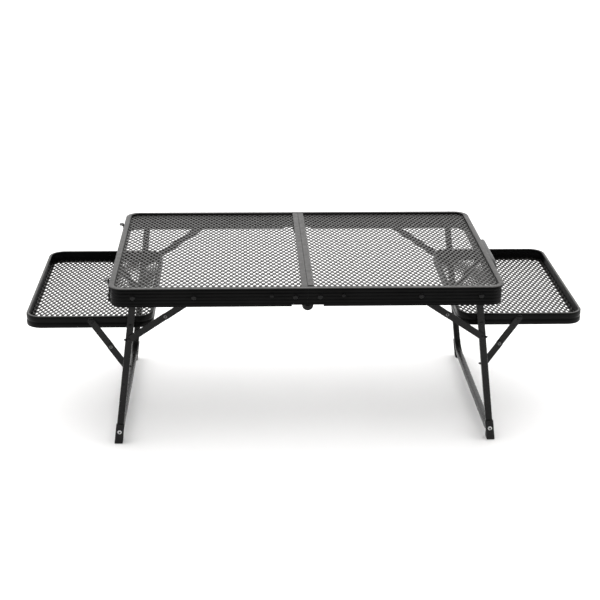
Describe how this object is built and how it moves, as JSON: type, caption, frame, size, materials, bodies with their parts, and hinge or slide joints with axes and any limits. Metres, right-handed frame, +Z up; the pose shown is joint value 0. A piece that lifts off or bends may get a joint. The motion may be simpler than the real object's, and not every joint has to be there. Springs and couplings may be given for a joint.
{
  "type": "folding side table",
  "caption": "Low folding camping table with a mesh top hinged across the middle, a drop-down mesh tray at each end, U-shaped folding legs, knee braces and a carry handle.",
  "frame": {"origin": "on the floor under the middle of the open table", "axes": "+X along the length to the right, +Y to the back, +Z up; front is -Y"},
  "size_m": [1.294, 0.6, 0.4],
  "materials": {
    "black_aluminium": "satin black coating on ribbed aluminium rail",
    "black_steel": "black powder coating on steel tube and strip",
    "mesh_steel": "dark grey powder coating on expanded steel mesh",
    "black_plastic": "grained black plastic",
    "bright_steel": "plain steel pin"
  },
  "bodies": {
    "right_half": {"right_frame_rail": "black_aluminium", "right_top_mesh": "mesh_steel", "right_centre_bar": "black_steel", "right_hinge_leaf_front": "black_steel", "right_hinge_leaf_back": "black_steel", "right_leg_bolt_front": "black_steel", "right_leg_bolt_back": "black_steel", "right_brace_bracket_front": "black_steel", "right_brace_bracket_back": "black_steel", "latch_catch_front": "black_steel", "latch_catch_back": "black_steel", "handle_lug_front": "black_plastic", "handle_lug_back": "black_plastic", "hinge_pin_front": "bright_steel", "hinge_pin_back": "bright_steel"},
    "left_half": {"left_frame_rail": "black_aluminium", "left_top_mesh": "mesh_steel", "left_centre_bar": "black_steel", "left_hinge_leaf_front": "black_steel", "left_hinge_leaf_back": "black_steel", "left_leg_bolt_front": "black_steel", "left_leg_bolt_back": "black_steel", "left_brace_bracket_front": "black_steel", "left_brace_bracket_back": "black_steel", "latch_plate_front": "black_steel", "latch_plate_back": "black_steel"},
    "right_legs": {"right_leg": "black_steel", "right_foot_pad_front": "black_plastic", "right_foot_pad_back": "black_plastic", "right_tray_pin_front": "black_steel", "right_tray_pin_back": "black_steel"},
    "right_braces_upper": {"right_brace_upper_front": "black_steel", "right_brace_upper_back": "black_steel"},
    "right_braces_lower": {"right_brace_lower_front": "black_steel", "right_brace_lower_back": "black_steel"},
    "right_tray": {"right_tray_rim": "black_steel", "right_tray_mesh": "mesh_steel"},
    "right_tray_braces_upper": {"right_tray_brace_upper_front": "black_steel", "right_tray_brace_upper_back": "black_steel"},
    "right_tray_braces_lower": {"right_tray_brace_lower_front": "black_steel", "right_tray_brace_lower_back": "black_steel"},
    "left_legs": {"left_leg": "black_steel", "left_foot_pad_front": "black_plastic", "left_foot_pad_back": "black_plastic", "left_tray_pin_front": "black_steel", "left_tray_pin_back": "black_steel"},
    "left_braces_upper": {"left_brace_upper_front": "black_steel", "left_brace_upper_back": "black_steel"},
    "left_braces_lower": {"left_brace_lower_front": "black_steel", "left_brace_lower_back": "black_steel"},
    "left_tray": {"left_tray_rim": "black_steel", "left_tray_mesh": "mesh_steel"},
    "left_tray_braces_upper": {"left_tray_brace_upper_front": "black_steel", "left_tray_brace_upper_back": "black_steel"},
    "left_tray_braces_lower": {"left_tray_brace_lower_front": "black_steel", "left_tray_brace_lower_back": "black_steel"},
    "handle": {"handle": "black_plastic"},
    "latch_front": {"latch_lever_front": "black_steel"},
    "latch_back": {"latch_lever_back": "black_steel"}
  },
  "joints": [
    {"name": "half_fold", "type": "hinge", "parent": "right_half", "child": "left_half", "pos_m": [0, 0, 0.3537], "axis": [0, -1, 0], "range_deg": [0, 100]},
    {"name": "right_leg_fold", "type": "hinge", "parent": "right_half", "child": "right_legs", "pos_m": [0.394, 0, 0.378], "axis": [0, 1, 0], "range_deg": [0, 97.24]},
    {"name": "right_tray_fold", "type": "hinge", "parent": "right_legs", "child": "right_tray", "pos_m": [0.40427, 0, 0.29715], "axis": [0, 1, 0], "range_deg": [0, 82.76]},
    {"name": "right_brace_upper_fold", "type": "hinge", "parent": "right_half", "child": "right_braces_upper", "pos_m": [0.257, 0, 0.366], "axis": [0, 1, 0], "range_deg": [0, 145.46]},
    {"name": "right_brace_lower_fold", "type": "hinge", "parent": "right_legs", "child": "right_braces_lower", "pos_m": [0.40846, 0, 0.26411], "axis": [0, -1, 0], "range_deg": [0, 138.35]},
    {"name": "right_tray_brace_upper_fold", "type": "hinge", "parent": "right_tray", "child": "right_tray_braces_upper", "pos_m": [0.495, 0, 0.303], "axis": [0, -1, 0], "range_deg": [0, 128.3]},
    {"name": "right_tray_brace_lower_fold", "type": "hinge", "parent": "right_legs", "child": "right_tray_braces_lower", "pos_m": [0.41787, 0, 0.19001], "axis": [0, 1, 0], "range_deg": [0, 127.76]},
    {"name": "left_leg_fold", "type": "hinge", "parent": "left_half", "child": "left_legs", "pos_m": [-0.394, 0, 0.378], "axis": [0, -1, 0], "range_deg": [0, 97.24]},
    {"name": "left_tray_fold", "type": "hinge", "parent": "left_legs", "child": "left_tray", "pos_m": [-0.40427, 0, 0.29715], "axis": [0, -1, 0], "range_deg": [0, 82.76]},
    {"name": "left_brace_upper_fold", "type": "hinge", "parent": "left_half", "child": "left_braces_upper", "pos_m": [-0.257, 0, 0.366], "axis": [0, -1, 0], "range_deg": [0, 145.46]},
    {"name": "left_brace_lower_fold", "type": "hinge", "parent": "left_legs", "child": "left_braces_lower", "pos_m": [-0.40846, 0, 0.26411], "axis": [0, 1, 0], "range_deg": [0, 138.35]},
    {"name": "left_tray_brace_upper_fold", "type": "hinge", "parent": "left_tray", "child": "left_tray_braces_upper", "pos_m": [-0.495, 0, 0.303], "axis": [0, 1, 0], "range_deg": [0, 128.3]},
    {"name": "left_tray_brace_lower_fold", "type": "hinge", "parent": "left_legs", "child": "left_tray_braces_lower", "pos_m": [-0.41787, 0, 0.19001], "axis": [0, -1, 0], "range_deg": [0, 127.76]},
    {"name": "handle_swing", "type": "hinge", "parent": "right_half", "child": "handle", "pos_m": [0.4605, 0, 0.366], "axis": [0, 1, 0], "range_deg": [0, 95]},
    {"name": "latch_front_swing", "type": "hinge", "parent": "left_half", "child": "latch_front", "pos_m": [-0.4503, 0, 0.372], "axis": [0, 1, 0], "range_deg": [0, 16]},
    {"name": "latch_back_swing", "type": "hinge", "parent": "left_half", "child": "latch_back", "pos_m": [-0.4503, 0, 0.372], "axis": [0, 1, 0], "range_deg": [0, 16]}
  ],
  "couplings": [
    {"joint": "right_tray_fold", "follows": "right_leg_fold", "ratio": 0.85115},
    {"joint": "right_brace_upper_fold", "follows": "right_leg_fold", "ratio": 1.4959},
    {"joint": "right_brace_lower_fold", "follows": "right_leg_fold", "ratio": 1.4228},
    {"joint": "right_tray_brace_upper_fold", "follows": "right_leg_fold", "ratio": 1.3194},
    {"joint": "right_tray_brace_lower_fold", "follows": "right_leg_fold", "ratio": 1.3139},
    {"joint": "left_tray_fold", "follows": "left_leg_fold", "ratio": 0.85115},
    {"joint": "left_brace_upper_fold", "follows": "left_leg_fold", "ratio": 1.4959},
    {"joint": "left_brace_lower_fold", "follows": "left_leg_fold", "ratio": 1.4228},
    {"joint": "left_tray_brace_upper_fold", "follows": "left_leg_fold", "ratio": 1.3194},
    {"joint": "left_tray_brace_lower_fold", "follows": "left_leg_fold", "ratio": 1.3139}
  ]
}
